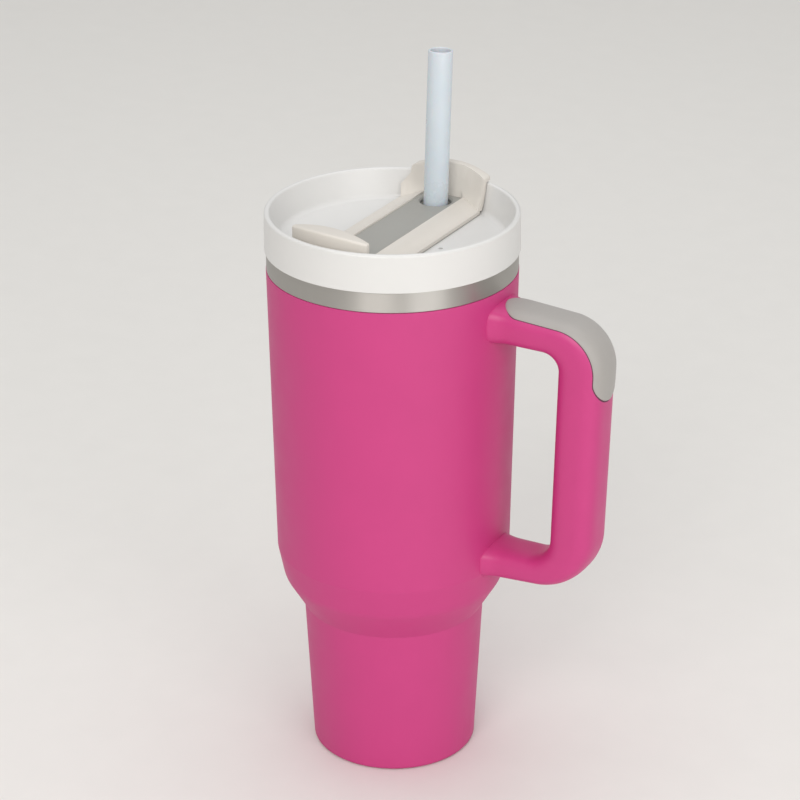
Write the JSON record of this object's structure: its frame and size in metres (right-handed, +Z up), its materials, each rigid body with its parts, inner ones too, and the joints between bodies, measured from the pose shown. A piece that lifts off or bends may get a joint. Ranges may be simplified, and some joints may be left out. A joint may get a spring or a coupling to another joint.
{
  "type": "insulated tumbler with lid",
  "caption": "Tall double-walled steel tumbler with a narrow cup-holder foot, side handle, press-in lid, turning cover bar and a leaning drinking straw.",
  "frame": {"origin": "on the cup's axis, where the foot meets the table", "axes": "+Z up the cup's axis, +X towards the handle, +Y towards the straw"},
  "size_m": [0.1507, 0.1041, 0.2983],
  "materials": {
    "powder_coat": "matte powder coat",
    "bare_steel": "fine turned",
    "liner_steel": "electropolished",
    "seal_metal": "dull",
    "getter_metal": "dull",
    "handle_plastic": "satin moulded",
    "soft_grip": "satin soft-touch",
    "screw_steel": "bright",
    "lid_plastic": "satin gloss",
    "silicone": "matte silicone",
    "cover_plastic": "satin moulded",
    "insert_plastic": "satin moulded",
    "straw_plastic": "translucent clear-white"
  },
  "bodies": {
    "cup": {"foot_shell": "powder_coat", "outer_shell": "powder_coat", "mouth_ring": "bare_steel", "liner_cup": "liner_steel", "inner_liner": "liner_steel", "base_pan": "bare_steel", "seal_plug": "seal_metal", "getter": "getter_metal", "handle": "handle_plastic", "grip_pad": "soft_grip", "upper_bracket": "liner_steel", "lower_bracket": "liner_steel", "handle_screws": "screw_steel", "screw_covers": "handle_plastic"},
    "lid": {"lid_shell": "lid_plastic", "plug_ring": "lid_plastic", "lid_gasket": "silicone"},
    "cover": {"cover_frame": "cover_plastic", "cover_insert": "insert_plastic", "thumb_tab": "cover_plastic", "cover_seal": "silicone", "pivot_pin": "insert_plastic", "pivot_clip": "liner_steel"},
    "straw": {"straw": "straw_plastic"}
  },
  "joints": [
    {"name": "lid_lift", "type": "slide", "parent": "cup", "child": "lid", "axis": [0, 0, 1], "range_m": [0, 0.24]},
    {"name": "cover_turn", "type": "hinge", "parent": "lid", "child": "cover", "pos_m": [0, 0, 0.23], "axis": [0, 0, 1], "range_deg": [-16, 16]},
    {"name": "straw_pull", "type": "slide", "parent": "cover", "child": "straw", "axis": [0, 0.061, 0.9981], "range_m": [0, 0.29]}
  ]
}
